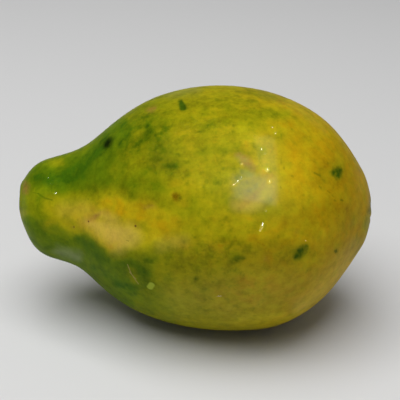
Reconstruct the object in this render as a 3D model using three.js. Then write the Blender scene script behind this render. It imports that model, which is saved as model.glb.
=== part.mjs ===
// A whole papaya, picked and lying on its side. It grew as one piece, so it is one closed solid: a
// pear-shaped body with a short thick neck, five faint lengthwise lobes, a corky stem scar set in a
// shallow basin, and a puckered blossom scar. It rests on a small flat spot under its centre of mass.
//
// Millimetres, +Z up. +X runs from the stem end to the blossom end. The origin is on the resting plane,
// under the middle of the fruit.

import * as THREE from "three";

// ---- Driving dimensions -------------------------------------------------------------------------

const LENGTH = 176; // stem end to blossom end
const RESTING_PITCH = THREE.MathUtils.degToRad(2); // how far the heavy end rocks up as the fruit settles
const FLAT_SPOT_DEPTH = 1.2; // how far the underside is pressed flat
const SKIN_COLOUR = 0x9a8f1c;

// The outline is r = roundness(angle) * sin(angle), with the polar angle 0 at the stem end and 180 at
// the blossom end. A constant roundness would make an ellipsoid; the dip at 46 degrees is the neck.
const ROUNDNESS = [
  [0, 66],
  [15, 57],
  [22, 53.8],
  [30, 48.4],
  [38, 43],
  [46, 40.3],
  [52, 41.7],
  [59, 47.3],
  [66, 52.1],
  [75, 56.3],
  [87, 59.6],
  [105, 63.7],
  [117, 66.4],
  [130, 67.2],
  [140, 66.4],
  [151, 63.4],
  [160, 64],
  [170, 76],
  [180, 80],
];

// How far each cross-section's centre lies above the fruit's axis: the blunt end of the neck turns up.
const CENTRE_RISE = [
  [0, 6],
  [15, 2],
  [30, 0.6],
  [48, 0.4],
  [58, -0.8],
  [78, 0.5],
  [100, 0.2],
  [120, -0.9],
  [148, 0.8],
  [165, -0.2],
  [180, -1],
];

// Five lengthwise lobes, one for each carpel, as a share of the local radius.
const LOBES = 5;
const LOBE_PHASE = THREE.MathUtils.degToRad(32);
const LOBE_SHARE = [
  [0, 0.03],
  [30, 0.025],
  [60, 0.016],
  [100, 0.009],
  [150, 0.014],
  [180, 0.02],
];

// Slow unevenness of a fruit that grew on one side more than another.
const UNEVEN = [
  { height: 0.5, around: 2, along: 3.1, phase: 1.2 },
  { height: 0.3, around: 3, along: -4.3, phase: -0.5 },
  { height: 0.2, around: 4, along: 6.2, phase: 0.4 },
];

// Stem scar: the corky face of the broken-off stalk, sunk in a ring-shaped groove with a raised rim.
const STALK_RADIUS = 5.2;
const STALK_SINK = 0.9;
const STALK_LOBE_SHARE = 0.08;
const STALK_EDGE = 0.6;
const PITH_RADIUS = 1.4;
const PITH_DEPTH = 0.7;
const GROOVE_RADIUS = 6.5;
const GROOVE_WIDTH = 1.7;
const GROOVE_DEPTH = 2;
const RIM_RADIUS = 9.2;
const RIM_WIDTH = 2.6;
const RIM_HEIGHT = 0.6;

// Blossom scar: a blunt plate puckered into five lobes with creases between them, a slit across it, and
// the dried remnant of the style above the slit.
const PUCKER_RADIUS = 6.5;
const PUCKER_WIDTH = 4.6;
const PUCKER_HEIGHT = 0.75;
const PUCKER_CREASE_SHARE = 0.6;
const PIT_RADIUS = 2.4;
const PIT_DEPTH = 0.9;
const SLIT_HALF_WIDTH = 0.9;
const SLIT_REACH = 10;
const SLIT_DEPTH = 1.4;
const SLIT_HEIGHT = -0.8;
const STYLE = { across: -0.6, up: 1.8, radius: 1.5, height: 1 };

// ---- Mesh fineness ------------------------------------------------------------------------------

const SEGMENTS = 80;
const BODY_RINGS = 42;
// The scars have rings of their own, at these distances from their centres.
const STEM_RINGS = [1, 2.1, 3.3, 4.4, 5.1, 5.7, 6.3, 7.1, 8.1, 9.3, 10.8, 12.6];
const BLOSSOM_RINGS = [13, 11.2, 9.6, 8.2, 7, 5.8, 4.7, 3.7, 2.8, 1.9, 1];

// ---- Helpers ------------------------------------------------------------------------------------

// A smooth curve through the rows of a table, level at both ends.
function smooth(table, x) {
  const last = table.length - 1;
  let i = 0;
  while (i < last - 1 && x > table[i + 1][0]) i++;
  const slope = (k) =>
    k === 0 || k === last ? 0 : (table[k + 1][1] - table[k - 1][1]) / (table[k + 1][0] - table[k - 1][0]);
  const [x0, y0] = table[i];
  const [x1, y1] = table[i + 1];
  const width = x1 - x0;
  const t = THREE.MathUtils.clamp((x - x0) / width, 0, 1);
  const u = 1 - t;
  return (
    y0 * u * u * (1 + 2 * t) +
    y1 * t * t * (3 - 2 * t) +
    slope(i) * width * t * u * u -
    slope(i + 1) * width * t * t * u
  );
}

// A round hill of height 1 that falls off over the given width.
function hill(distance, width) {
  return Math.exp(-((distance / width) ** 2));
}

// Height of the stem scar's surface, outwards from the end of the neck.
function stemRelief(radius, around) {
  const edge = STALK_RADIUS * (1 + STALK_LOBE_SHARE * Math.cos(LOBES * around));
  const onStalk = 1 - THREE.MathUtils.smoothstep(radius, edge - STALK_EDGE, edge + STALK_EDGE);
  const rim = RIM_HEIGHT * hill(radius - RIM_RADIUS, RIM_WIDTH);
  const groove = rim - GROOVE_DEPTH * hill(radius - GROOVE_RADIUS, GROOVE_WIDTH);
  const stalk = -STALK_SINK - PITH_DEPTH * hill(radius, PITH_RADIUS);
  return THREE.MathUtils.lerp(groove, stalk, onStalk);
}

// Height of the blossom scar's surface, outwards from the end of the body.
function blossomRelief(radius, around) {
  const across = radius * Math.cos(around);
  const up = radius * Math.sin(around);
  const crease = 1 - Math.abs(Math.cos((LOBES / 2) * (around - LOBE_PHASE)));
  const puckered = PUCKER_HEIGHT * (1 - PUCKER_CREASE_SHARE * crease);
  const pucker = puckered * hill(radius - PUCKER_RADIUS, PUCKER_WIDTH);
  const pit = -PIT_DEPTH * hill(radius, PIT_RADIUS);
  const slit = -SLIT_DEPTH * hill(up - SLIT_HEIGHT, SLIT_HALF_WIDTH) * hill(across, SLIT_REACH);
  const style = STYLE.height * hill(Math.hypot(across - STYLE.across, up - STYLE.up), STYLE.radius);
  return pucker + pit + slit + style;
}

// ---- The fruit ----------------------------------------------------------------------------------

// A point of the skin, from the polar angle along the fruit and the angle around it, with the fruit's
// own axis on the X axis.
function skinPoint(polar, around) {
  const degrees = THREE.MathUtils.radToDeg(polar);
  const girth = Math.sin(polar);
  const lobe = smooth(LOBE_SHARE, degrees) * Math.cos(LOBES * (around - LOBE_PHASE));
  const uneven = UNEVEN.reduce(
    (sum, wave) => sum + wave.height * Math.sin(wave.around * around + wave.along * polar + wave.phase),
    0,
  );
  const radius = girth * (smooth(ROUNDNESS, degrees) * (1 + lobe) + uneven);
  const outwards = degrees < 90 ? -stemRelief(radius, around) : blossomRelief(radius, around);
  return new THREE.Vector3(
    (-LENGTH / 2) * Math.cos(polar) + outwards,
    radius * Math.cos(around),
    radius * Math.sin(around) + smooth(CENTRE_RISE, degrees),
  );
}

// The polar angles of the rings: set by the distances above on the scars, and even along the body
// between them.
function ringAngles() {
  const stemRoundness = smooth(ROUNDNESS, 0);
  const blossomRoundness = smooth(ROUNDNESS, 180);
  const stem = STEM_RINGS.map((distance) => Math.asin(distance / stemRoundness));
  const blossom = BLOSSOM_RINGS.map((distance) => Math.PI - Math.asin(distance / blossomRoundness));
  const first = stem[stem.length - 1];
  const step = (blossom[0] - first) / (BODY_RINGS + 1);
  const body = Array.from({ length: BODY_RINGS }, (_, i) => first + step * (i + 1));
  return [...stem, ...body, ...blossom];
}

// Rings of points from pole to pole, with a fan of triangles at each end.
function skinGeometry() {
  const rings = ringAngles();
  const points = [skinPoint(0, 0)];
  for (const polar of rings) {
    for (let j = 0; j < SEGMENTS; j++) points.push(skinPoint(polar, (2 * Math.PI * j) / SEGMENTS));
  }
  points.push(skinPoint(Math.PI, 0));

  const at = (ring, j) => 1 + ring * SEGMENTS + (j % SEGMENTS);
  const stemPole = 0;
  const blossomPole = points.length - 1;
  const faces = [];
  for (let j = 0; j < SEGMENTS; j++) {
    faces.push(stemPole, at(0, j + 1), at(0, j));
    faces.push(blossomPole, at(rings.length - 1, j), at(rings.length - 1, j + 1));
    for (let ring = 0; ring < rings.length - 1; ring++) {
      faces.push(at(ring, j), at(ring, j + 1), at(ring + 1, j));
      faces.push(at(ring + 1, j), at(ring, j + 1), at(ring + 1, j + 1));
    }
  }
  const geometry = new THREE.BufferGeometry().setFromPoints(points);
  geometry.setIndex(faces);
  return geometry;
}

// Rocks the fruit back until its centre of mass is over its lowest skin, presses that skin flat, and puts
// the resting plane and the middle of the fruit at the origin.
function setDown(geometry) {
  geometry.rotateY(-RESTING_PITCH);
  geometry.computeBoundingBox();
  const { min, max } = geometry.boundingBox;
  const floor = min.z + FLAT_SPOT_DEPTH;
  const position = geometry.getAttribute("position");
  for (let i = 0; i < position.count; i++) position.setZ(i, Math.max(position.getZ(i), floor));
  geometry.translate(-(min.x + max.x) / 2, -(min.y + max.y) / 2, -floor);
  geometry.computeVertexNormals();
  return geometry;
}

const skin = new THREE.MeshStandardMaterial({ color: SKIN_COLOUR, roughness: 0.4, metalness: 0 });

const fruit = new THREE.Mesh(setDown(skinGeometry()), skin);
fruit.name = "fruit";

const papaya = new THREE.Group();
papaya.add(fruit);

export default papaya;
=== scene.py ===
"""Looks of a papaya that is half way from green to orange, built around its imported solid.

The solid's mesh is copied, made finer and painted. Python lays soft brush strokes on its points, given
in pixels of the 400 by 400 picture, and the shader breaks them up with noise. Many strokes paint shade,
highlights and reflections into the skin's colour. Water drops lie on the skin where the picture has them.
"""
import math

import bmesh
import bpy
import numpy as np
from mathutils import Matrix, Vector, noise
from mathutils.bvhtree import BVHTree


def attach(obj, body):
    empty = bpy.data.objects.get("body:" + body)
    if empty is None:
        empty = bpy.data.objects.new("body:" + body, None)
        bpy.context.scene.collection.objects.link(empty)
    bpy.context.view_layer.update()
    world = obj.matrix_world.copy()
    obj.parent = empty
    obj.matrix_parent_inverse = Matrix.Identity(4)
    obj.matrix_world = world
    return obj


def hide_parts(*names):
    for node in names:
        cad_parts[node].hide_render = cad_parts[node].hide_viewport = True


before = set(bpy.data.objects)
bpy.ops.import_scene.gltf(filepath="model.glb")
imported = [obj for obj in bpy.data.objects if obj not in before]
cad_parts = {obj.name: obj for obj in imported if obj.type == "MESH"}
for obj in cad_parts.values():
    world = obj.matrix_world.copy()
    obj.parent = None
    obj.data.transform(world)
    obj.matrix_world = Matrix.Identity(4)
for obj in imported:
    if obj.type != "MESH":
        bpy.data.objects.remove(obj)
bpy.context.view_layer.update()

MM = 0.001

# The camera, in front of the fruit and looking down on it. PICTURE is the side of its picture in pixels.
PICTURE = 400
LENS = 100.0
SENSOR = 36.0
CAMERA_ELEVATION = math.radians(25)
CAMERA_ROLL = math.radians(1.8)
CAMERA_DISTANCE = 0.562
AIM_HEIGHT = 0.0605
AIM_RIGHT = 0.0021
AIM_UP = 0.0029

# The skin's mesh. Points closer than SAME_POINT are one point. More than POLE_EDGES edges meet only at the
# two ends of the fruit.
SAME_POINT = 1e-6
POLE_EDGES = 20
FINER_LEVELS = 2

# Brush strokes, in pixels of the picture. Each has a level, how far it covers what is under it, how soft
# its edge is, and a chain of round dabs (x, y, radius).
# Ripeness runs from 0, dark green, through 0.6, yellow green, to 1, orange. First how it changes along the
# fruit: what it is, at which pixels from the left of the picture.
RIPENESS_AT = [20, 60, 120, 160, 180, 210, 240, 270, 290, 320, 350, 372]
RIPENESS_IS = [0.32, 0.34, 0.40, 0.50, 0.63, 0.72, 0.78, 0.84, 0.88, 0.92, 0.95, 0.88]
RIPENESS_STROKES = [
    # green left on top of the neck
    (0.34, 0.9, 10, [(130, 178, 15), (139, 154, 16)]),
    (0.42, 0.9, 9, [(138, 134, 10), (143, 118, 12)]),
    (0.17, 0.9, 8, [(40, 178, 10), (60, 176, 16), (92, 163, 17), (109, 145, 13), (122, 130, 11)]),
    (0.00, 0.9, 5, [
        (38, 178, 5), (58, 180, 5), (80, 172, 9), (89, 161, 5), (104, 146, 4), (108.5, 140, 4),
    ]),
    (0.24, 0.7, 6, [(92, 180, 5), (112, 182, 6)]),
    (0.10, 0.7, 4, [(37, 171, 3), (45, 169, 3)]),
    (0.30, 0.7, 4, [(42, 164, 3), (60, 162, 4)]),
    (0.54, 0.8, 4, [(53, 163, 3), (60, 162, 3)]),
    (0.45, 0.8, 7, [(156, 122, 8), (162, 148, 8), (170, 164, 6)]),
    (0.40, 0.8, 6, [(128, 184, 5), (160, 190, 8)]),
    (0.26, 0.8, 4, [(148, 130, 3), (151, 139, 4)]),
    (0.24, 0.7, 3, [(150, 121, 2), (146, 138, 4)]),
    (0.22, 0.7, 3, [(163, 152, 3)]),
    (0.20, 0.8, 3, [(150, 168, 3)]),
    (0.20, 0.8, 3, [(167, 165, 3), (176, 167, 3)]),
    (0.24, 0.7, 3, [(126, 186, 3), (136, 186, 3)]),
    (0.22, 0.6, 5, [(76, 188, 4), (102, 187, 4)]),
    (0.60, 0.8, 5, [(147, 152, 4), (134, 169, 7)]),
    (0.56, 0.6, 4, [(154, 164, 4)]),
    # the yellow band along the side
    (0.60, 0.9, 6, [(50, 203, 7), (70, 204, 10), (110, 200, 12), (150, 212, 18), (180, 215, 20)]),
    (0.93, 0.9, 6, [(66, 210, 5), (86, 212, 10), (112, 218, 18), (145, 220, 18), (168, 226, 14)]),
    (0.74, 0.8, 5, [(108, 196, 4), (120, 194, 4)]),
    (0.93, 0.8, 6, [(138, 219, 8), (150, 226, 6)]),
    (1.00, 0.8, 5, [(104, 214, 4), (120, 216, 6)]),
    (0.97, 0.8, 4, [(100, 202, 3), (108, 200, 4), (120, 204, 5)]),
    (0.40, 0.6, 3, [(104, 188, 2), (126, 185, 3)]),
    (0.36, 0.8, 4, [(134, 196, 4)]),
    (0.96, 0.8, 4, [(86, 219, 3), (98, 213, 4)]),
    (0.94, 0.8, 3, [(112, 217, 4)]),
    (0.92, 0.7, 3, [(150, 205, 4), (143, 211, 3)]),
    (0.92, 0.7, 3, [(136, 227, 4), (155, 226, 4)]),
    (0.82, 0.8, 5, [(54, 214, 4), (64, 223, 6), (76, 229, 6)]),
    (0.76, 0.7, 4, [(50, 224, 3), (56, 220, 4)]),
    (0.74, 0.7, 6, [(48, 210, 5), (60, 208, 6)]),
    # the stem end
    (0.42, 0.8, 5, [(26, 192, 5), (34, 198, 5), (30, 211, 5)]),
    (0.12, 0.8, 5, [(28, 222, 3), (34, 231, 5), (42, 236, 5)]),
    # green left under the neck
    (0.19, 0.95, 4, [
        (38, 244, 12), (60, 251, 13), (82, 256, 14), (102, 273, 17), (126, 284, 20), (120, 300, 16),
    ]),
    (0.34, 0.8, 5, [(144, 264, 8), (146, 284, 11), (146, 306, 13)]),
    (0.80, 0.8, 6, [(62, 212, 6), (82, 215, 7), (126, 236, 14), (142, 236, 14)]),
    (0.90, 0.95, 3, [(80, 218.5, 7), (95, 228.5, 10), (112, 241, 10)]),
    (0.46, 0.7, 6, [(160, 270, 4), (162, 300, 7), (170, 316, 8)]),
    (0.04, 0.8, 4, [(80, 239, 4), (94, 251, 5), (105, 261, 4)]),
    (0.08, 0.7, 3, [(108, 259, 3)]),
    (0.08, 0.7, 3, [(94, 267, 3)]),
    (0.02, 0.8, 3, [(115, 284, 3), (134, 288, 4)]),
    (0.04, 0.7, 5, [(126, 262, 3), (138, 267, 3), (147, 275, 3)]),
    (0.48, 0.8, 3, [(132, 271, 4), (134, 279, 4)]),
    (0.20, 0.8, 4, [(146, 281, 4)]),
    (0.24, 0.5, 4, [(150, 260, 3), (159, 256, 2)]),
    # the belly and the lower side
    (0.60, 0.8, 6, [(163, 256, 5), (166, 276, 7)]),
    (0.76, 0.7, 10, [(180, 290, 9), (200, 294, 12)]),
    (0.89, 0.7, 12, [(226, 294, 14), (244, 290, 16)]),
    (0.95, 0.7, 12, [(264, 286, 16), (292, 290, 16)]),
    (0.87, 0.7, 7, [(150, 238, 5), (178, 239, 7), (192, 241, 6)]),
    (0.81, 0.7, 7, [(188, 228, 7), (205, 223, 6), (207, 234, 7)]),
    (0.96, 0.7, 7, [(252, 241, 6), (270, 252, 8)]),
    # green flecks that are left on the yellow green side
    (0.60, 0.5, 16, [(215, 108, 14), (244, 118, 16)]),
    (0.60, 0.6, 5, [(229, 120, 4), (257, 114, 6), (272, 117, 4)]),
    (0.60, 0.5, 14, [(222, 178, 14), (250, 196, 12)]),
    (0.44, 0.7, 4, [(202, 127, 4), (216, 122, 4), (228, 120, 2)]),
    (0.40, 0.7, 3, [(232, 115, 3)]),
    (0.48, 0.7, 4, [(264, 112, 4), (276, 115, 4), (290, 113, 2)]),
    (0.50, 0.7, 4, [(205, 109, 4)]),
    (0.50, 0.7, 4, [(225, 103, 4)]),
    (0.50, 0.7, 4, [(198, 152, 4), (236, 148, 4)]),
    (0.42, 0.7, 2, [(194, 155, 2)]),
    (0.48, 0.6, 3, [(262, 152, 4)]),
    (0.52, 0.6, 4, [(212, 176, 6)]),
    (0.64, 0.8, 3, [(244, 172, 3), (249, 173, 3)]),
    (0.48, 0.7, 3, [(226, 195, 3), (230, 204, 2)]),
    (0.52, 0.6, 4, [(252, 209, 5), (270, 203, 4)]),
    (0.50, 0.7, 3, [(192, 210, 3)]),
    (0.50, 0.6, 3, [(240, 190, 2)]),
    (0.50, 0.7, 5, [(232, 204, 5)]),
    (0.66, 0.5, 5, [(224, 206, 5), (258, 212, 4)]),
    (0.46, 0.6, 5, [(236, 256, 5)]),
    (0.84, 0.7, 5, [(324, 184, 5)]),
    (0.54, 0.6, 4, [(226, 238, 4)]),
    (0.54, 0.5, 3, [(194, 278, 3)]),
    (0.64, 0.7, 5, [(279, 136, 5)]),
    (0.62, 0.6, 5, [(262, 210, 5), (278, 209, 4)]),
    (0.68, 0.7, 4, [(337, 170, 7)]),
    (0.60, 0.7, 5, [(301, 253, 8)]),
    # where it has turned sooner
    (0.80, 0.7, 6, [(177, 135, 6), (192, 132, 5)]),
    (0.80, 0.6, 4, [(236, 93, 3)]),
    (0.86, 0.6, 4, [(262, 101, 3)]),
    (0.66, 0.6, 3, [(250, 91, 3), (273, 96, 3)]),
    (0.84, 0.7, 5, [(172, 184, 5), (191, 181, 5)]),
    (0.80, 0.6, 4, [(182, 205, 5), (184, 194, 4)]),
    (0.48, 0.6, 4, [(157, 197, 4)]),
    (0.94, 0.9, 2.4, [(175.8, 196.5, 4.8)]),
    (0.86, 0.6, 3, [(226, 187, 2)]),
    (0.84, 0.8, 2.4, [(213.3, 220, 2.4)]),
    (0.86, 0.6, 3, [(261, 187, 2)]),
    (0.86, 0.5, 3, [(212, 206, 3)]),
    (0.98, 0.8, 8, [(293, 140, 7), (298, 165, 8), (297, 188, 7)]),
    (0.97, 0.8, 8, [(316, 128, 6), (324, 190, 8)]),
    (0.99, 0.8, 6, [(326, 150, 9), (314, 162, 7)]),
    (0.97, 0.8, 6, [(352, 178, 6), (352, 205, 8), (340, 192, 6)]),
    (1.00, 0.9, 5, [(364, 182, 4), (365, 205, 4), (360, 228, 5)]),
    (1.00, 0.8, 5, [(296, 230, 5)]),
    (0.93, 0.7, 5, [(250, 230, 4), (286, 229, 5)]),
    (1.00, 0.8, 5, [(268, 264, 5)]),
    (0.97, 0.7, 3, [(352, 232, 4)]),
    (0.94, 0.6, 4, [(305, 288, 4)]),
    (0.98, 0.7, 5, [(359, 176, 4), (361, 190, 4)]),
    # the rim of the blossom end
    (0.64, 0.5, 3, [(371, 196, 1), (371.5, 204, 1.6), (369, 211, 2.4)]),
    (0.62, 0.6, 4, [(367, 218, 2), (365, 228, 2.4)]),
]
# Paler, creamy skin, and a creamy painted sheen where the window shines and along the rims: 1 is fully
# creamy
CREAM_AND_SHEEN_STROKES = [
    (0.70, 1.0, 8, [(84, 222, 3), (98, 228, 8), (112, 234, 11), (128, 236, 11), (118, 246, 6)]),
    (0.30, 0.8, 8, [(66, 210, 7), (84, 210, 8), (98, 215, 4)]),
    (0.55, 0.9, 5, [(103, 214, 4), (113, 221, 5)]),
    (0.20, 0.9, 4, [(22, 214, 4)]),
    (0.64, 0.9, 6, [(236, 206, 5), (246, 206, 6), (257, 203, 6)]),
    (0.30, 0.8, 6, [(160, 245, 6), (185, 240, 6)]),
    (0.25, 0.9, 9, [(336, 256, 6), (318, 280, 9)]),
    (0.60, 0.9, 9, [(353, 244, 4), (341, 270, 7), (322, 292, 7), (300, 309, 6)]),
]
# A grey painted sheen: painted reflection of the floor and the room on the rims, under the neck and over
# the belly, and painted highlight where the window shines
GREY_SHEEN_STROKES = [
    (0.62, 1.0, 5, [(58, 250, 4), (76, 256, 5)]),
    (0.12, 1.0, 20, [(180, 300, 16), (230, 300, 26), (290, 292, 20)]),
    (0.30, 0.7, 6, [(170, 92, 4), (196, 89, 4)]),
    (0.55, 0.8, 4, [(240, 157, 2), (246, 161, 3.5), (251, 167, 2)]),
    (0.40, 0.8, 3, [(243, 171, 3), (250, 173, 3)]),
    (0.25, 0.8, 2.4, [(246, 193, 2), (256, 185, 2)]),
    (0.18, 0.8, 4, [(369, 214, 2), (367, 224, 2.6)]),
    (0.11, 0.8, 5, [(262, 92, 3), (290, 102, 4), (308, 115, 4), (324, 131, 3)]),
]
# How much lighter, above 0, or duller, below 0, the skin is than its ripeness makes it. Most strokes are
# painted light: painted shade on the belly, the right end and the top rim, lighter painted rims, and a
# painted highlight where the window shines. A few are the skin's own dull or dark spots.
TONE_AND_SHADE_STROKES = [
    # the neck and stem end: painted light on rims and under the neck, partly painted shade, a dark spot
    (0.24, 1.0, 6, [(25, 200, 4), (24, 216, 5), (28, 230, 6), (40, 242, 5)]),
    (0.22, 1.0, 6, [(50, 164, 4), (56, 180, 4), (38, 194, 5), (62, 188, 3)]),
    (-0.12, 1.0, 6, [(78, 186, 4), (108, 187, 5)]),
    (-0.15, 1.0, 9, [(113, 151, 6), (122, 172, 9)]),
    (0.06, 1.0, 4, [(30, 209, 4)]),
    (0.36, 1.0, 3, [(22, 215, 3)]),
    (0.06, 1.0, 3, [(27.5, 185, 2), (27.5, 189, 2)]),
    (0.26, 1.0, 10, [(36, 236, 8), (60, 248, 12), (88, 262, 10)]),
    (0.22, 1.0, 6, [(60, 230, 5), (78, 238, 5)]),
    (-0.84, 1.0, 3.0, [(109, 141, 3.4), (106.4, 145, 3.2)]),
    (-0.22, 0.9, 12, [(146, 126, 12), (160, 144, 11)]),
    (-0.28, 1.0, 8, [(128, 150, 6), (147, 136, 7), (144, 163, 6), (160, 158, 9), (176, 168, 7)]),
    (-0.16, 1.0, 9, [(184, 142, 8), (204, 138, 7), (192, 128, 6)]),
    # the yellow band: lighter and duller patches, partly painted light and shade, and a brown patch
    (0.20, 1.0, 6, [(102, 213, 4)]),
    (0.30, 1.0, 7, [(92, 224, 4), (108, 234, 10), (130, 238, 11), (156, 240, 7)]),
    (-0.14, 1.0, 6, [(85, 195, 5), (100, 190, 5)]),
    (-0.26, 1.0, 7, [(124, 190, 6), (145, 203, 7), (160, 199, 5)]),
    (-0.16, 1.0, 6, [(182, 200, 7)]),
    (-0.14, 1.0, 8, [(145, 182, 6), (176, 181, 7)]),
    (-0.54, 1.0, 2.4, [(175.8, 196.5, 4.4)]),
    # the upper side: painted shade along the top rim, and painted highlight where the window shines
    (-0.18, 1.0, 14, [(140, 118, 10), (200, 100, 14), (260, 106, 14)]),
    (-0.14, 1.0, 9, [(165, 121, 7), (200, 121, 7), (228, 119, 5)]),
    (-0.28, 1.0, 5, [(246, 91, 4), (282, 99, 4)]),
    (-0.10, 1.0, 9, [(270, 119, 5), (296, 120, 7)]),
    (0.20, 1.0, 8, [(244, 128, 6), (256, 142, 8)]),
    (0.24, 1.0, 16, [(266, 172, 14), (294, 174, 20)]),
    (0.00, 1.0, 6, [(250, 181, 5), (264, 178, 6)]),
    (0.40, 1.0, 6, [(262, 194, 4), (274, 189, 3)]),
    (0.36, 1.0, 3, [(244, 173, 3), (249, 174, 3)]),
    (0.20, 1.0, 4, [(240, 157, 3), (250, 165, 3)]),
    (0.17, 1.0, 8, [(206, 185, 6), (222, 178, 7), (242, 174, 6)]),
    (0.02, 1.0, 6, [(226, 194, 5), (230, 200, 4)]),
    (0.26, 1.0, 6, [(246, 207, 5), (257, 205, 5)]),
    (0.36, 1.0, 5, [(256, 165, 3), (267, 166, 4)]),
    # the right: painted shade on the end that turns from the light, and lighter painted rims
    (-0.15, 1.0, 8, [(318, 180, 6), (342, 180, 8)]),
    (-0.22, 1.0, 5, [(316, 168, 4), (326, 168, 6), (344, 169, 4)]),
    (0.18, 1.0, 8, [(300, 194, 6), (312, 194, 5)]),
    (-0.14, 1.0, 8, [(284, 223, 6), (312, 213, 7), (342, 211, 8)]),
    # a painted glint of a water drop that isn't modelled
    (0.20, 1.0, 2, [(323.5, 230, 1.4), (324, 235, 1.8)]),
    (-0.12, 1.0, 7, [(344, 222, 6), (352, 214, 5)]),
    (0.24, 1.0, 5, [(361, 176, 3), (363, 190, 3)]),
    (0.28, 1.0, 11, [(348, 262, 6), (325, 286, 7), (300, 308, 6)]),
    # painted shade in the crease of the blossom end
    (-0.55, 1.0, 3, [(371.5, 197, 0.6), (371.5, 205, 1.2), (369.5, 211, 1.8)]),
    # the belly: painted shade under the lit side, and painted light near the floor and on the lower left
    (-0.24, 1.0, 6, [(178, 262, 10), (212, 262, 11), (250, 260, 12), (286, 258, 9)]),
    (-0.26, 1.0, 6, [(208, 250, 5), (224, 245, 6), (262, 249, 8), (302, 250, 7)]),
    (-0.18, 1.0, 5, [(167, 258, 5), (194, 248, 5)]),
    (-0.14, 1.0, 9, [(186, 276, 5), (205, 274, 8), (246, 274, 6)]),
    (-0.20, 1.0, 4, [(146, 280, 4)]),
    (-0.10, 1.0, 5, [(130, 266, 5), (142, 272, 5)]),
    (0.22, 1.0, 4, [(236, 320, 3), (286, 316, 4)]),
    (-0.20, 1.0, 12, [(205, 286, 9), (234, 282, 8)]),
    (0.22, 1.0, 9, [(106, 272, 7), (124, 288, 9), (138, 303, 7)]),
    (0.18, 1.0, 8, [(158, 304, 7), (180, 307, 8)]),
    # small dull spots
    (-0.36, 1.0, 1.6, [(336, 251.2, 2.0)]),
    (-0.40, 1.0, 2.0, [(196.3, 278.6, 2.4)]),
    (-0.30, 1.0, 1.6, [(347, 208.8, 1.6)]),
    (-0.28, 1.0, 1.6, [(314, 161, 1.6)]),
    (-0.46, 1.0, 2.0, [(222.3, 239.3, 2.2)]),
    (-0.30, 1.0, 2.4, [(213.3, 220, 2.4)]),
    # the painted shadow at the edge of a water drop, beside the lime disc of painted light under it
    (-0.30, 1.0, 1.4, [(152.5, 281, 1.2), (155.5, 284, 1.2)]),
]
# How strongly the shader's patterns mottle the skin
MOTTLE_STROKES = [
    (1.00, 1.0, 14, [(150, 140, 30), (190, 150, 40), (230, 160, 40)]),
    (0.80, 0.9, 12, [(150, 192, 12), (210, 212, 20), (250, 230, 18)]),
    (0.30, 0.9, 8, [(296, 145, 10), (300, 185, 14), (268, 190, 10)]),
    (0.80, 0.9, 12, [(180, 268, 22), (240, 275, 30)]),
    (1.50, 0.9, 7, [(162, 254, 4), (200, 250, 8), (232, 248, 9)]),
    (0.80, 0.9, 10, [(210, 104, 12), (280, 112, 14)]),
    (0.60, 0.9, 10, [(150, 262, 14), (130, 285, 14)]),
]
# Dark green spots, ragged at their edges
SPOT_STROKES = [
    (1.20, 1.0, 2.8, [(180.5, 101.5, 2.0), (183, 107.5, 3.2)]),
    (0.85, 1.0, 4.0, [(332.5, 173, 3.0), (338.5, 171, 4.2), (337.8, 176, 3.6)]),
    (0.80, 1.0, 4.4, [(296.5, 257, 3.4), (301, 251.8, 5.0), (305.5, 247, 3.2)]),
    (0.35, 1.0, 6.0, [(131, 259, 3.0), (147, 274, 4.0)]),
    (0.35, 1.0, 5.0, [(128, 287, 3.0), (137, 294, 3.0)]),
    (0.60, 1.0, 4.0, [(231, 260.5, 2.6), (238.5, 258.8, 4.2), (244, 258, 2.4)]),
    (0.72, 1.0, 2.2, [(196.3, 278.6, 2.4)]),
    (0.75, 1.0, 1.6, [(336, 251.2, 2.0)]),
    (0.35, 1.0, 1.8, [(333, 197, 1.1), (338, 199.5, 1.1), (341.5, 200, 1.4)]),
]
# Pinkish brown blemishes, and pink streaks of painted highlight where the window shines
BLUSH_AND_HAZE_STROKES = [
    (0.85, 0.9, 3, [(27, 184, 2), (27, 190, 2)]),
    (0.85, 0.9, 2.6, [(87.5, 221.5, 1.8), (94, 217, 2.4), (101, 211.5, 1.6)]),
    (0.35, 0.8, 3, [(73, 227, 2)]),
    (0.60, 0.9, 3, [(145, 208, 1.6), (153, 206, 1.6)]),
    (0.80, 0.9, 3, [(149, 110, 2.4), (155, 108, 2)]),
    (0.45, 0.9, 3, [(267, 260, 2.2)]),
    # pink streaks of painted highlight where the window's reflection falls
    (0.85, 0.9, 4, [(239, 156, 2), (246, 160, 4), (252, 166, 3)]),
    (0.50, 0.8, 3, [(240, 209, 2.4), (252, 198, 2.6), (262, 188, 2)]),
    (0.35, 0.8, 4, [(357, 172, 3), (360, 188, 3)]),
    (0.35, 0.8, 3, [(352, 222, 2)]),
    (0.30, 0.8, 3, [(297, 231, 2.4)]),
]
# Fine marks that the shader draws: rounded lines from one pixel to another, as (x, y, x, y, radius). Both
# ends of a dot are the same.
BROWN_MARKS = [
    (88.5, 221.5, 88.5, 221.5, 0.9),
    (135.5, 226.0, 135.5, 226.0, 1.1),
    (74.0, 227.0, 74.0, 227.0, 0.7),
    (369.4, 213.6, 369.4, 213.6, 0.8),
]
TAN_MARKS = [
    (127.5, 264.5, 131.5, 274.0, 0.5),
    (131.5, 274.0, 138.5, 284.0, 0.5),
    (129.5, 272.0, 136.0, 279.0, 0.4),
    (216.5, 296.5, 221.5, 296.0, 0.5),
]
GREEN_MARKS = [
    (314.5, 173.0, 320.0, 175.5, 1.2),
    (341.0, 200.0, 343.0, 200.5, 0.9),
    (38.0, 193.4, 44.5, 198.0, 0.9),
    (44.5, 198.0, 52.0, 200.0, 0.8),
    # painted shade in the crease of the blossom end
    (370.2, 205.0, 370.4, 210.0, 1.0),
]
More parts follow.
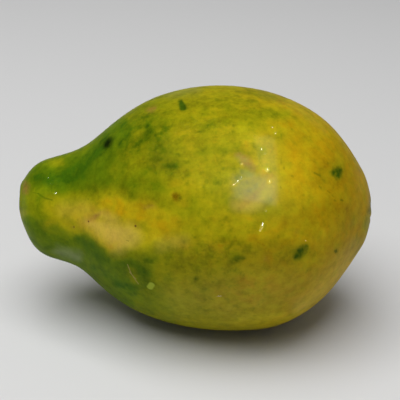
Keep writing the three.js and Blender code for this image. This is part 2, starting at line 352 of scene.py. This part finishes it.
FAINT_MARKS = [
    (33.0, 192.5, 39.0, 193.6, 0.5),
    (51.5, 184.5, 51.5, 191.0, 0.9),
    (281.0, 134.0, 281.0, 164.0, 0.5),
    (284.0, 167.5, 284.0, 168.5, 1.0),
    (319.5, 186.5, 321.0, 188.0, 0.9),
    (327.5, 191.0, 330.0, 192.8, 0.8),
    (332.0, 195.0, 333.2, 196.4, 0.7),
    (334.0, 200.0, 336.0, 201.0, 0.8),
    (126.5, 240.3, 128.5, 241.0, 0.6),
    (292.0, 176.0, 293.0, 176.5, 1.0),
    (280.5, 187.0, 281.0, 188.0, 0.8),
]
# A pool of painted light: the light that a water drop, not modelled here, focuses on the skin, as a lime
# disc
DROP_LIGHT_MARKS = [
    (149.8, 287.4, 151.8, 284.6, 2.5),
]

# Water drops: where each lies in the picture, its half length and half width in pixels, and its turn in
# degrees, anticlockwise from the picture's right
DROPS = [
    (55.2, 193.0, 1.6, 1.5, 0),
    (48.0, 178.0, 0.7, 0.7, 0),
    (51.0, 184.0, 0.6, 0.6, 0),
    (272.0, 127.0, 1.3, 1.1, 0),
    (275.5, 133.0, 1.8, 1.4, 60),
    (261.5, 149.0, 2.2, 1.8, 80),
    (265.0, 153.5, 1.4, 1.2, 0),
    (242.0, 164.0, 1.4, 1.1, 20),
    (267.5, 169.5, 3.0, 2.2, 30),
    (269.5, 181.0, 2.2, 2.8, 0),
    (241.0, 177.8, 2.4, 2.0, 0),
    (237.5, 181.2, 2.6, 2.0, 40),
    (233.8, 184.5, 1.8, 1.5, 40),
    (266.0, 210.5, 1.2, 0.9, 90),
    (261.5, 227.0, 5.0, 1.9, 68),
    (219.5, 296.0, 2.2, 0.8, 0),
    (306.0, 241.0, 1.0, 0.8, 0),
]
# A drop's height is a share of its half width. Its rim and the tip of its underside lie under the skin.
DROP_HEIGHT = 0.6
DROP_RIM_DEPTH = 0.05 * MM
DROP_TIP_DEPTH = 0.15 * MM
DROP_SIDES = 24
DROP_RINGS = 6

# How the edges of the strokes wander: smooth random pushes, in pixels, over two sizes of patch. The shifts
# set the two sizes apart.
WANDER_SEED = 1
BROAD_WANDER = 14 * MM
BROAD_SHIFT = 3.1
BROAD_PUSH = 2.5
SMALL_WANDER = 5 * MM
SMALL_SHIFT = 7.7
SMALL_PUSH = 1.5

# How squarely the skin faces the camera where it starts to take the strokes, and where it takes them whole
STROKES_FACING = (-0.35, 0.0)
SPOTS_FACING = (0.0, 0.1)

# How far the same patches change the ripeness of the sides that the picture doesn't show
BACK_BROAD_CHANGE = 0.22
BACK_SMALL_CHANGE = 0.11

# How strongly the skin is mottled where no stroke says so
MOTTLE_ELSEWHERE = 0.45

# Colours, as the share of red, green and blue light that they give back, and 1 for solid
RIPENING = [
    (0.00, (0.044, 0.106, 0.002, 1)),
    (0.25, (0.110, 0.162, 0.002, 1)),
    (0.50, (0.221, 0.230, 0.003, 1)),
    (0.70, (0.315, 0.285, 0.004, 1)),
    (0.85, (0.400, 0.315, 0.005, 1)),
    (1.00, (0.442, 0.272, 0.003, 1)),
]
SPOT = (0.056, 0.110, 0.002, 1)
# also the colour of a creamy painted sheen
CREAM_AND_SHEEN = (0.47, 0.33, 0.055, 1)
# the grey of the painted sheen
GREY_SHEEN = (0.19, 0.23, 0.10, 1)
# also the pink of the painted highlight streaks
BLUSH_AND_HAZE = (0.31, 0.16, 0.03, 1)
BROWN = (0.12, 0.05, 0.01, 1)
TAN = (0.42, 0.28, 0.10, 1)
# the lime of the painted light under a water drop
DROP_LIGHT = (0.33, 0.40, 0.03, 1)
CORK = (0.30, 0.21, 0.10, 1)
CORK_DARK = (0.11, 0.07, 0.03, 1)
TIP = (0.07, 0.09, 0.02, 1)

# The kinds of fine marks, with their colours and how far these cover the skin. Above 1, more of a mark's
# soft edge is covered too.
MARKS = [
    (BROWN_MARKS, BROWN, 1.0),
    (TAN_MARKS, TAN, 0.6),
    (GREEN_MARKS, SPOT, 0.5),
    (FAINT_MARKS, SPOT, 0.35),
    (DROP_LIGHT_MARKS, DROP_LIGHT, 2.0),
]

# Patterns, made of noise: what distances along the fruit are multiplied by, the size of the pattern, how
# many finer patterns it has in it, and how strong those are
BLOTCHES = (0.9, 6.0 * MM, 4, 0.6)
FLECKS = (0.9, 1.8 * MM, 2, 0.5)
STREAKS = (0.1, 2.0 * MM, 2, 0.5)
SPECKS = (1.1, 5.5 * MM, 3, 0.55)
DAPPLES = (1.0, 5.0 * MM, 4, 0.76)
CORK_GRAIN = (1.0, 0.8 * MM, 3, 0.5)
RIPPLES = (1.0, 1.0 * MM, 1, 0.5)
# Blender's noise lies mostly between 0.25 and 0.75, and this gain spreads it from -1 to 1
NOISE_GAIN = 4.0

# How far the patterns change the ripeness of mottled skin
BLOTCH_CHANGE = 0.18
FLECK_CHANGE = 0.05
STREAK_CHANGE = 0.03
SPECK_CHANGE = -0.26
# How far they make it lighter or duller. Specks are their noise above SPECK_START, and dapples are cut off
# at DAPPLE_TOP.
SPECK_START = 0.12
SPECK_SHADE = -0.15
DAPPLE_TOP = 0.4
DAPPLE_SHADE = 0.27
# How far they break up what is painted over the ripeness
PATCHY = 0.25
BLUSH_COVER = 0.8
BLUSH_UNEVEN = 0.5
SPOT_RAGGED = 0.35
PORE_UNEVEN = 0.1
TIP_RAGGED = 2.4 * MM

# Pores, dark and pressed in
PORE_STRETCH = 0.9
PORE_SPACING = 4.0 * MM
PORE_DARKNESS = 0.22

# Edges: where a thing starts to show, and where it is whole. Spots go by their strokes' level, pores by the
# share of their spacing, marks by the share of their radius, and the two ends by how far off the pole is.
SPOT_EDGE = (0.1, 0.9)
PORE_EDGE = (0.20, 0.0)
MARK_EDGE = (1.6, 0.3)
CORK_EDGE = (6.2 * MM, 4.8 * MM)
TIP_EDGE = (12.0 * MM, 3.5 * MM)
# The grain of the darkest and of the lightest cork, and how far the dark tip covers the skin
CORK_LIGHT = (-0.6, 0.6)
TIP_COVER = 0.85

# Surfaces
SKIN_SURFACE = {"Specular IOR Level": 0.008, "Coat Weight": 0.07, "Coat Roughness": 0.15}
SKIN_ROUGHNESS = 0.45
ROUGHNESS_CHANGE = 0.05
CORK_ROUGHNESS = 0.85
WATER_SURFACE = {
    "Base Color": (1, 1, 1, 1),
    "Transmission Weight": 1.0,
    "Roughness": 0.04,
    "IOR": 1.33,
    "Specular IOR Level": 1.0,
    "Coat Weight": 1.0,
    "Coat Roughness": 0.08,
    "Coat IOR": 1.9,
}
FLOOR_SURFACE = {"Base Color": (0.62, 0.62, 0.62, 1), "Roughness": 0.9, "Specular IOR Level": 0.1}
# How high the skin's blotches and the water's ripples stand, and the rest of the skin's relief as a share
# of the blotches
BLOTCH_RELIEF = 0.02 * MM
RIPPLE_RELIEF = 0.02 * MM
FLECK_RELIEF = 0.35
PORE_RELIEF = -0.6
CORK_RELIEF = 4.0

# The Mix node's sockets for colours, which share their names with others
MIX_UNDER = 6
MIX_OVER = 7
MIX_RESULT = 2

# The studio. The window hangs so many degrees to the right of the camera and above it. Its panes are
# rectangles in its own plane: left, right, low and high edge in metres, and power in watts.
WINDOW_AT = (24, 36)
WINDOW_DISTANCE = 1.5
WINDOW_TURN = math.radians(-26)
WINDOW_PANES = [
    (-0.40, 0.29, -0.68, -0.18, 29.0),
    (-0.05, 0.29, -0.18, 0.72, 8.5),
]
SKY_TOWARDS = (-0.17, -0.21, 0.96)
SKY_DISTANCE = 1.6
SKY_SIZE = (1.6, 1.6)
SKY_POWER = 35.0
ROOM_LIGHT = (0.15, 0.15, 0.15, 1)
FLOOR_HALF = 3.0
FLOOR_HEIGHT = -0.1 * MM


def camera_axes():
    """Unit vectors to the camera's right, to its top, and back from what it looks at."""
    back = Vector((0, -math.cos(CAMERA_ELEVATION), math.sin(CAMERA_ELEVATION)))
    level_right = Vector((1, 0, 0))
    level_up = back.cross(level_right)
    right = level_right * math.cos(CAMERA_ROLL) + level_up * math.sin(CAMERA_ROLL)
    return right, back.cross(right), back


RIGHT, UP, BACK = camera_axes()
AIM = Vector((0, 0, AIM_HEIGHT)) + RIGHT * AIM_RIGHT + UP * AIM_UP
EYE = AIM + BACK * CAMERA_DISTANCE
# The focal length in pixels, and the size of a pixel at the fruit in metres
FOCAL = PICTURE * LENS / SENSOR
PIXEL = CAMERA_DISTANCE / FOCAL


def smooth(low, high, value):
    """Rises from 0 at low to 1 at high, gently at both ends. Works on arrays."""
    t = np.clip((value - low) / (high - low), 0, 1)
    return t * t * (3 - 2 * t)


def in_picture(points):
    """Where points of the scene land in the picture: pixels from its left, and from its top."""
    offset = points - np.array(EYE)
    depth = -offset @ np.array(BACK)
    across = PICTURE / 2 + FOCAL * (offset @ np.array(RIGHT)) / depth
    down = PICTURE / 2 - FOCAL * (offset @ np.array(UP)) / depth
    return across, down


def under_stroke(x, y, dabs, softness):
    """How far points lie under a brush stroke: 1 well inside its chain of dabs, 0 beyond its soft edge."""
    inside = np.full(x.shape, -np.inf)
    for (x0, y0, r0), (x1, y1, r1) in zip(dabs, dabs[1:] or dabs):
        run = (x1 - x0) ** 2 + (y1 - y0) ** 2
        t = np.clip(((x - x0) * (x1 - x0) + (y - y0) * (y1 - y0)) / run, 0, 1) if run else 0
        away = np.hypot(x - x0 - t * (x1 - x0), y - y0 - t * (y1 - y0))
        inside = np.maximum(inside, r0 + t * (r1 - r0) - away)
    return smooth(-softness, softness, inside)


def paint(under, strokes, x, y, share):
    """Lays strokes over a field of numbers, one after another. Each point takes its share of them."""
    painted = under.copy()
    for level, cover, softness, dabs in strokes:
        painted += (level - painted) * under_stroke(x, y, dabs, softness) * cover * share
    return painted


def show(name, data):
    """Puts a mesh, a light or a camera into the scene, as a new object."""
    added = bpy.data.objects.new(name, data)
    bpy.context.scene.collection.objects.link(added)
    return added


def finer_skin():
    """The solid's mesh as a new object, in quads, made finer and still flat where the fruit rests. Gives
    the middles of its stem end and its blossom end too.
    """
    solid = bmesh.new()
    solid.from_mesh(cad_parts["fruit"].data)
    bmesh.ops.remove_doubles(solid, verts=solid.verts, dist=SAME_POINT)
    poles = [vertex.co.copy() for vertex in solid.verts if len(vertex.link_edges) > POLE_EDGES]
    # At these limits any two triangles may join, however much they bend or slant
    limits = {"angle_face_threshold": math.pi, "angle_shape_threshold": math.pi}
    bmesh.ops.join_triangles(solid, faces=solid.faces, **limits)
    points = [vertex.co.copy() for vertex in solid.verts]
    faces = [[vertex.index for vertex in face.verts] for face in solid.faces]
    solid.free()

    cage = bpy.data.meshes.new("cage")
    cage.from_pydata(points, [], faces)
    skin = show("skin", cage)
    finer = skin.modifiers.new("finer", "SUBSURF")
    finer.levels = FINER_LEVELS
    refined = skin.evaluated_get(bpy.context.evaluated_depsgraph_get())
    skin.data = bpy.data.meshes.new_from_object(refined)
    skin.modifiers.clear()
    bpy.data.meshes.remove(cage)
    for vertex in skin.data.vertices:
        vertex.co.z = max(vertex.co.z, 0)
    skin.data.shade_smooth()
    stem_end, blossom_end = sorted(poles, key=lambda pole: pole.x)
    return skin, stem_end, blossom_end


def read_vectors(values, name):
    """An array of vectors, from the values of a mesh."""
    found = np.zeros(len(values) * 3)
    values.foreach_get(name, found)
    return found.reshape(-1, 3)


def wander(points, size, shift):
    """A smooth random push for each point, in -1 to 1, that changes over the given size."""
    start = Vector((shift, -shift, 2 * shift))
    return np.array([noise.noise_vector(Vector(point) / size + start) for point in points])


def store(mesh, name, values):
    """Keeps one number for each point, for the shader to read."""
    mesh.attributes.new(name, "FLOAT", "POINT").data.foreach_set("value", values.astype(np.float32))


def paint_skin(mesh, stem_end, blossom_end):
    """Works out every painted field of the skin."""
    points = read_vectors(mesh.vertices, "co")
    normals = read_vectors(mesh.vertex_normals, "vector")
    x, y = in_picture(points)
    to_eye = np.array(EYE) - points
    facing = (to_eye * normals).sum(1) / np.linalg.norm(to_eye, axis=1)
    front = smooth(*STROKES_FACING, facing)
    spots_front = smooth(*SPOTS_FACING, facing)

    # Without a seed, this noise goes by the clock
    noise.seed_set(WANDER_SEED)
    broad = wander(points, BROAD_WANDER, BROAD_SHIFT)
    small = wander(points, SMALL_WANDER, SMALL_SHIFT)
    edge_x = x + BROAD_PUSH * broad[:, 0] + SMALL_PUSH * small[:, 0]
    edge_y = y + BROAD_PUSH * broad[:, 1] + SMALL_PUSH * small[:, 1]

    ripe = np.interp(x, RIPENESS_AT, RIPENESS_IS)
    ripe += (1 - front) * (BACK_BROAD_CHANGE * broad[:, 2] + BACK_SMALL_CHANGE * small[:, 2])
    store(mesh, "ripeness", paint(ripe, RIPENESS_STROKES, edge_x, edge_y, front))

    none = np.zeros(len(points))
    # All these fields but the mottle and the spots also carry painted highlight, reflection and shade
    store(mesh, "cream_and_sheen", paint(none, CREAM_AND_SHEEN_STROKES, edge_x, edge_y, front))
    store(mesh, "grey_sheen", paint(none, GREY_SHEEN_STROKES, edge_x, edge_y, front))
    store(mesh, "tone_and_shade", paint(none, TONE_AND_SHADE_STROKES, x, y, front))
    store(mesh, "mottle", paint(none + MOTTLE_ELSEWHERE, MOTTLE_STROKES, x, y, front))
    store(mesh, "spot", paint(none, SPOT_STROKES, x, y, spots_front))
    store(mesh, "blush_and_haze", paint(none, BLUSH_AND_HAZE_STROKES, edge_x, edge_y, front))

    store(mesh, "stem_distance", np.linalg.norm(points - np.array(stem_end), axis=1))
    store(mesh, "blossom_distance", np.linalg.norm(points - np.array(blossom_end), axis=1))


def new_material(name, surface):
    """A material whose shader has these values. Gives the material, its node tree and the shader."""
    material = bpy.data.materials.new(name)
    material.use_nodes = True
    tree = material.node_tree
    shader = tree.nodes["Principled BSDF"]
    for socket, value in surface.items():
        shader.inputs[socket].default_value = value
    return material, tree, shader


def wire(tree, kind, inputs=(), out=0, **settings):
    """Adds a node and gives one of its outputs. Its inputs are numbers, colours or other nodes' outputs."""
    added = tree.nodes.new("ShaderNode" + kind)
    for name, value in settings.items():
        setattr(added, name, value)
    for key, value in dict(inputs).items():
        if isinstance(value, bpy.types.NodeSocket):
            tree.links.new(value, added.inputs[key])
        else:
            added.inputs[key].default_value = value
    return added.outputs[out]


def calc(tree, operation, *numbers):
    """A Math node on up to three numbers or outputs."""
    return wire(tree, "Math", enumerate(numbers), operation=operation)


def vector_calc(tree, operation, first, second, out="Vector"):
    """A Vector Math node on two vectors."""
    return wire(tree, "VectorMath", enumerate((first, second)), out, operation=operation)


def scaled(tree, vector, scale):
    """A vector or a colour, multiplied by a number."""
    return wire(tree, "VectorMath", {"Vector": vector, "Scale": scale}, operation="SCALE")


def between(tree, value, low, high):
    """0 where value is at low and 1 where it is at high, gently at both ends."""
    inputs = {"Value": value, "From Min": low, "From Max": high}
    return wire(tree, "MapRange", inputs, interpolation_type="SMOOTHSTEP")


def blend_colours(tree, share, under, over):
    """The colour under, with this share of the colour over."""
    inputs = {"Factor": share, MIX_UNDER: under, MIX_OVER: over}
    return wire(tree, "Mix", inputs, MIX_RESULT, data_type="RGBA")


def field(tree, name):
    """A field painted on the skin's points."""
    return wire(tree, "Attribute", out="Fac", attribute_name=name)


def stretched(tree, along):
    """Places on the fruit, with distances along it multiplied. Below 1, a pattern on them runs along it."""
    place = wire(tree, "TexCoord", out="Object")
    return wire(tree, "Mapping", {"Vector": place, "Scale": (along, 1, 1)})


def grain(tree, along, size, detail, roughness):
    """Noise, from about -1 to 1."""
    place = stretched(tree, along)
    inputs = {"Vector": place, "Scale": 1 / size, "Detail": detail, "Roughness": roughness}
    return calc(tree, "MULTIPLY_ADD", wire(tree, "TexNoise", inputs), NOISE_GAIN, -NOISE_GAIN / 2)


def mark_group():
    """A node group that gives 1 on a rounded line from Start to End, and 0 off it."""
    group = bpy.data.node_groups.new("mark", "ShaderNodeTree")
    for name in ("Start", "End"):
        group.interface.new_socket(name, in_out="INPUT", socket_type="NodeSocketVector")
    group.interface.new_socket("Radius", in_out="INPUT", socket_type="NodeSocketFloat")
    group.interface.new_socket("Mask", in_out="OUTPUT", socket_type="NodeSocketFloat")
    given = group.nodes.new("NodeGroupInput").outputs
    place = wire(group, "TexCoord", out="Object")
    line = vector_calc(group, "SUBTRACT", given["End"], given["Start"])
    reach = vector_calc(group, "SUBTRACT", place, given["Start"])
    along = vector_calc(group, "DOT_PRODUCT", reach, line, "Value")
    length_squared = vector_calc(group, "DOT_PRODUCT", line, line, "Value")
    # A dot's line has no length, and Divide gives 0 for it
    share = wire(group, "Clamp", {"Value": calc(group, "DIVIDE", along, length_squared)})
    away = vector_calc(group, "DISTANCE", reach, scaled(group, line, share), "Value")
    mask = between(group, calc(group, "DIVIDE", away, given["Radius"]), *MARK_EDGE)
    group.links.new(mask, group.nodes.new("NodeGroupOutput").inputs["Mask"])
    return group


def marks(tree, group, lines, skin_at):
    """The fine marks of one kind: 1 on any of them."""
    found = 0.0
    for x0, y0, x1, y1, radius in lines:
        inputs = {"Start": skin_at(x0, y0)[0], "End": skin_at(x1, y1)[0], "Radius": radius * PIXEL}
        found = calc(tree, "MAXIMUM", found, wire(tree, "Group", inputs, node_tree=group))
    return found


def ripening_colours(tree, ripe):
    """The colour of the skin at each ripeness, from green to orange."""
    colour = wire(tree, "ValToRGB", {"Fac": ripe})
    stops = colour.node.color_ramp.elements
    for n, (at, tint) in enumerate(RIPENING):
        stop = stops[n] if n < len(stops) else stops.new(at)
        stop.position = at
        stop.color = tint
    return colour


def mottled(tree, blotch, fleck, speck):
    """The painted ripeness, changed by the patterns as far as the skin is mottled."""
    change = calc(tree, "MULTIPLY", blotch, BLOTCH_CHANGE)
    change = calc(tree, "MULTIPLY_ADD", fleck, FLECK_CHANGE, change)
    change = calc(tree, "MULTIPLY_ADD", grain(tree, *STREAKS), STREAK_CHANGE, change)
    change = calc(tree, "MULTIPLY_ADD", speck, SPECK_CHANGE, change)
    return calc(tree, "MULTIPLY_ADD", change, field(tree, "mottle"), field(tree, "ripeness"))


def with_patches(tree, colour, blotch, fleck):
    """The colour with creamy and pink patches, painted sheen and highlight, and dark green spots over it.
    """
    patchy = calc(tree, "MULTIPLY_ADD", blotch, PATCHY, 1.0)
    uneven = calc(tree, "MULTIPLY_ADD", fleck, BLUSH_UNEVEN, BLUSH_COVER)
    patches = (("cream_and_sheen", CREAM_AND_SHEEN, patchy), ("grey_sheen", GREY_SHEEN, patchy), ("blush_and_haze", BLUSH_AND_HAZE, uneven))
    for name, tint, broken in patches:
        colour = blend_colours(tree, calc(tree, "MULTIPLY", field(tree, name), broken), colour, tint)
    ragged = calc(tree, "MULTIPLY_ADD", fleck, SPOT_RAGGED, 1.0)
    spot = between(tree, calc(tree, "MULTIPLY", field(tree, "spot"), ragged), *SPOT_EDGE)
    return blend_colours(tree, spot, colour, SPOT)


def pores(tree, fleck):
    """Pores scattered over the skin: 1 in the middle of each."""
    inputs = {"Vector": stretched(tree, PORE_STRETCH), "Scale": 1 / PORE_SPACING}
    nearest = wire(tree, "TexVoronoi", inputs)
    return between(tree, calc(tree, "MULTIPLY_ADD", fleck, PORE_UNEVEN, nearest), *PORE_EDGE)


def toned(tree, colour, speck):
    """The colour made lighter or duller by painted light and shade, dull spots, dapples and specks."""
    dapple = calc(tree, "MINIMUM", grain(tree, *DAPPLES), DAPPLE_TOP)
    tone_and_shade = calc(tree, "ADD", field(tree, "tone_and_shade"), 1.0)
    tone_and_shade = calc(tree, "MULTIPLY_ADD", dapple, DAPPLE_SHADE, tone_and_shade)
    tone_and_shade = calc(tree, "MULTIPLY_ADD", speck, SPECK_SHADE, tone_and_shade)
    return scaled(tree, colour, tone_and_shade)


def with_marks(tree, colour, skin_at):
    """The colour with every kind of fine mark drawn over it."""
    group = mark_group()
    for lines, tint, strength in MARKS:
        marked = calc(tree, "MULTIPLY", marks(tree, group, lines, skin_at), strength)
        colour = blend_colours(tree, marked, colour, tint)
    return colour


def with_tip(tree, colour, blotch):
    """The colour with the dark, ragged blossom tip over it."""
    ragged = calc(tree, "MULTIPLY_ADD", blotch, TIP_RAGGED, field(tree, "blossom_distance"))
    tip = calc(tree, "MULTIPLY", between(tree, ragged, *TIP_EDGE), TIP_COVER)
    return blend_colours(tree, tip, colour, TIP)


def relief(tree, blotch, fleck, pore, rough_cork):
    """The normals of the skin's fine bumps."""
    height = calc(tree, "MULTIPLY_ADD", fleck, FLECK_RELIEF, blotch)
    height = calc(tree, "MULTIPLY_ADD", pore, PORE_RELIEF, height)
    height = calc(tree, "MULTIPLY_ADD", rough_cork, CORK_RELIEF, height)
    return wire(tree, "Bump", {"Height": height, "Distance": BLOTCH_RELIEF})


def skin_material(skin_at):
    """Waxy skin, coloured by the painted fields and broken up by noise, with a corky stem scar."""
    material, tree, shader = new_material("papaya_skin", SKIN_SURFACE)
    blotch = grain(tree, *BLOTCHES)
    fleck = grain(tree, *FLECKS)
    speck = calc(tree, "MAXIMUM", calc(tree, "SUBTRACT", grain(tree, *SPECKS), SPECK_START), 0.0)
    pore = pores(tree, fleck)
    corky = between(tree, field(tree, "stem_distance"), *CORK_EDGE)
    cork_light = between(tree, grain(tree, *CORK_GRAIN), *CORK_LIGHT)

    colour = ripening_colours(tree, mottled(tree, blotch, fleck, speck))
    colour = with_patches(tree, colour, blotch, fleck)
    colour = blend_colours(tree, calc(tree, "MULTIPLY", pore, PORE_DARKNESS), colour, SPOT)
    colour = toned(tree, colour, speck)
    colour = with_marks(tree, colour, skin_at)
    cork = blend_colours(tree, cork_light, CORK_DARK, CORK)
    colour = blend_colours(tree, corky, colour, cork)
    colour = with_tip(tree, colour, blotch)
    tree.links.new(colour, shader.inputs["Base Color"])

    rough = calc(tree, "MULTIPLY_ADD", blotch, ROUGHNESS_CHANGE, SKIN_ROUGHNESS)
    rough = calc(tree, "MAXIMUM", rough, calc(tree, "MULTIPLY", corky, CORK_ROUGHNESS))
    tree.links.new(rough, shader.inputs["Roughness"])

    rough_cork = calc(tree, "MULTIPLY", corky, cork_light)
    tree.links.new(relief(tree, blotch, fleck, pore, rough_cork), shader.inputs["Normal"])
    return material


def water_material():
    """Clear water, that lets the light through to the skin under it."""
    material, tree, shader = new_material("water", WATER_SURFACE)
    ripples = {"Height": grain(tree, *RIPPLES), "Distance": RIPPLE_RELIEF}
    tree.links.new(wire(tree, "Bump", ripples), shader.inputs["Normal"])
    return material


def tangents(normal, turn):
    """Two directions along the skin, which the picture shows at this turn and square to it."""
    found = []
    for angle in (turn, turn + math.pi / 2):
        seen = RIGHT * math.cos(angle) + UP * math.sin(angle)
        found.append(seen - BACK * (seen.dot(normal) / BACK.dot(normal)))
    return found


def add_drop(water, surface, skin_at, x, y, half_length, half_width, turn):
    """Adds one drop to a bmesh: a low dome on the skin, closed by a shallow cone just under it."""
    centre, normal = skin_at(x, y)
    long_way, short_way = tangents(normal, math.radians(turn))
    height = DROP_HEIGHT * half_width * PIXEL

    def dome_point(share, angle, rise):
        flat = long_way * math.cos(angle) * half_length + short_way * math.sin(angle) * half_width
        foot, outward, _, _ = surface.find_nearest(centre + flat * share * PIXEL)
        return water.verts.new(foot + outward * rise)

    rings = []
    for n in range(1, DROP_RINGS + 1):
        share = n / DROP_RINGS
        rise = height * (1 - share ** 2) - DROP_RIM_DEPTH * share
        rings.append([dome_point(share, 2 * math.pi * k / DROP_SIDES, rise) for k in range(DROP_SIDES)])
    top = dome_point(0, 0, height)
    tip = dome_point(0, 0, -DROP_TIP_DEPTH)
    for k in range(DROP_SIDES):
        after = (k + 1) % DROP_SIDES
        water.faces.new((top, rings[0][k], rings[0][after]))
        for inner, outer in zip(rings, rings[1:]):
            water.faces.new((inner[k], outer[k], outer[after], inner[after]))
        water.faces.new((rings[-1][k], tip, rings[-1][after]))


def water_drops(surface, skin_at):
    """All the drops, as one object."""
    water = bmesh.new()
    for drop in DROPS:
        add_drop(water, surface, skin_at, *drop)
    bmesh.ops.recalc_face_normals(water, faces=water.faces)
    mesh = bpy.data.meshes.new("water_drops")
    water.to_mesh(mesh)
    water.free()
    mesh.shade_smooth()
    mesh.materials.append(water_material())
    drops = show("water_drops", mesh)
    # Light isn't followed through a drop to the skin under it, so a shadow would be much too dark there
    drops.visible_shadow = False
    return drops


def floor():
    """A plain pale floor, much wider than the picture."""
    made = bmesh.new()
    bmesh.ops.create_grid(made, x_segments=1, y_segments=1, size=FLOOR_HALF)
    mesh = bpy.data.meshes.new("floor")
    made.to_mesh(mesh)
    made.free()
    mesh.materials.append(new_material("floor", FLOOR_SURFACE)[0])
    ground = show("floor", mesh)
    ground.location.z = FLOOR_HEIGHT
    return ground


def add_light(name, direction, distance, size, energy, turn=0, shift=(0, 0)):
    """A rectangular soft light that faces the fruit, turned, and then shifted in its own plane."""
    light = bpy.data.lights.new(name, "AREA")
    light.shape = "RECTANGLE"
    light.size, light.size_y = size
    light.energy = energy
    lamp = show(name, light)
    facing = direction.to_track_quat("Z", "Y").to_matrix() @ Matrix.Rotation(turn, 3, "Z")
    lamp.location = AIM + facing @ Vector((*shift, distance))
    lamp.rotation_euler = facing.to_euler()
    return lamp


def from_camera(right_degrees, up_degrees):
    """The direction that lies so far to the right of the camera and above it, seen from the fruit."""
    across, above = math.radians(right_degrees), math.radians(up_degrees)
    level = BACK * math.cos(across) + RIGHT * math.sin(across)
    return level * math.cos(above) + UP * math.sin(above)


def light_scene():
    """A window of two panes, seen only in what shines, a wide soft light overhead for the rest, and a weak
    even light from all round. Colours are shown as they are, without a film's curve.
    """
    for n, (left, right, low, high, power) in enumerate(WINDOW_PANES):
        size = (right - left, high - low)
        shift = ((left + right) / 2, (low + high) / 2)
        towards = from_camera(*WINDOW_AT)
        pane = add_light(f"window_{n}", towards, WINDOW_DISTANCE, size, power, WINDOW_TURN, shift)
        pane.visible_diffuse = False
        pane.visible_transmission = False
    sky = add_light("overhead", Vector(SKY_TOWARDS), SKY_DISTANCE, SKY_SIZE, SKY_POWER)
    sky.visible_glossy = False
    world = bpy.data.worlds.new("room")
    world.use_nodes = True
    world.node_tree.nodes["Background"].inputs["Color"].default_value = ROOM_LIGHT
    bpy.context.scene.world = world
    bpy.context.scene.view_settings.view_transform = "Standard"


def place_camera():
    """The camera of the picture."""
    camera = bpy.data.cameras.new("camera")
    camera.lens = LENS
    camera.sensor_width = SENSOR
    seat = show("camera", camera)
    seat.matrix_world = Matrix((RIGHT, UP, BACK)).transposed().to_4x4()
    seat.location = EYE
    bpy.context.scene.camera = seat


def papaya():
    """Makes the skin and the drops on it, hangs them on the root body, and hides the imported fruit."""
    skin, stem_end, blossom_end = finer_skin()
    mesh = skin.data
    paint_skin(mesh, stem_end, blossom_end)
    points = [vertex.co for vertex in mesh.vertices]
    surface = BVHTree.FromPolygons(points, [face.vertices for face in mesh.polygons])

    def skin_at(x, y):
        """The point of the skin that the picture shows at this pixel, and the outward normal there."""
        towards = RIGHT * (x - PICTURE / 2) / FOCAL - UP * (y - PICTURE / 2) / FOCAL - BACK
        place, normal, _, _ = surface.ray_cast(EYE, towards.normalized())
        return place, normal

    mesh.materials.append(skin_material(skin_at))
    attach(skin, "root")
    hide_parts("fruit")
    drops = water_drops(surface, skin_at)
    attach(drops, "root")


papaya()
floor()
light_scene()
place_camera()
